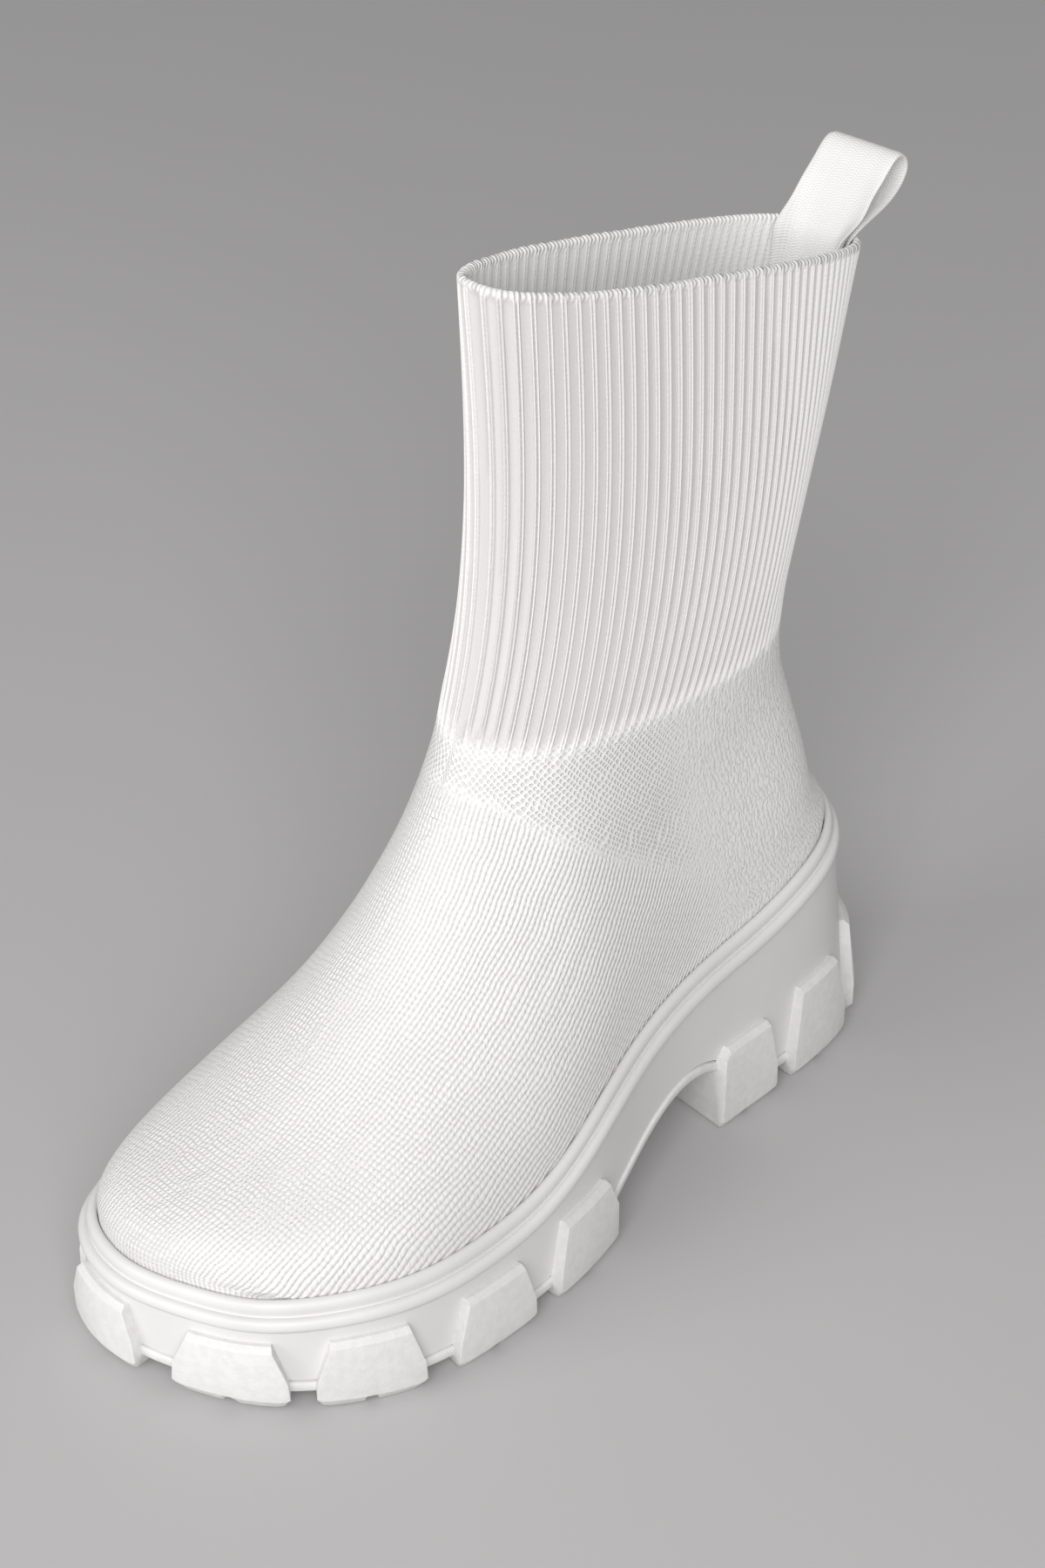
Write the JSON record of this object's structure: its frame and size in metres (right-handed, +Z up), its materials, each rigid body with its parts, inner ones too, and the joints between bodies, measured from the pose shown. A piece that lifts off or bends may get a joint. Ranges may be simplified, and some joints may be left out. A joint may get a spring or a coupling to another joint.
{
  "type": "sock boot",
  "caption": "White knitted sock boot with a ribbed shaft, a pull loop at the back of the collar and a thick lugged platform sole.",
  "frame": {"origin": "centre of the whole boot's bounding box, at the floor", "axes": "+X to the outer side of the left foot, -Y to the toe, +Y to the heel, +Z up"},
  "size_m": [0.1131, 0.2823, 0.2751],
  "materials": {
    "knit_white": "matte warm white knit, ribbed on the shaft",
    "webbing_white": "matte white woven tape",
    "footbed_white": "matte off-white lining cloth",
    "sole_white": "smooth satin white",
    "tread_white": "white, blasted rough on the lugs"
  },
  "bodies": {
    "root": {"upper": "knit_white", "pull_loop": "webbing_white", "insole": "footbed_white", "welt": "sole_white", "midsole": "sole_white", "outsole": "tread_white"}
  },
  "joints": []
}
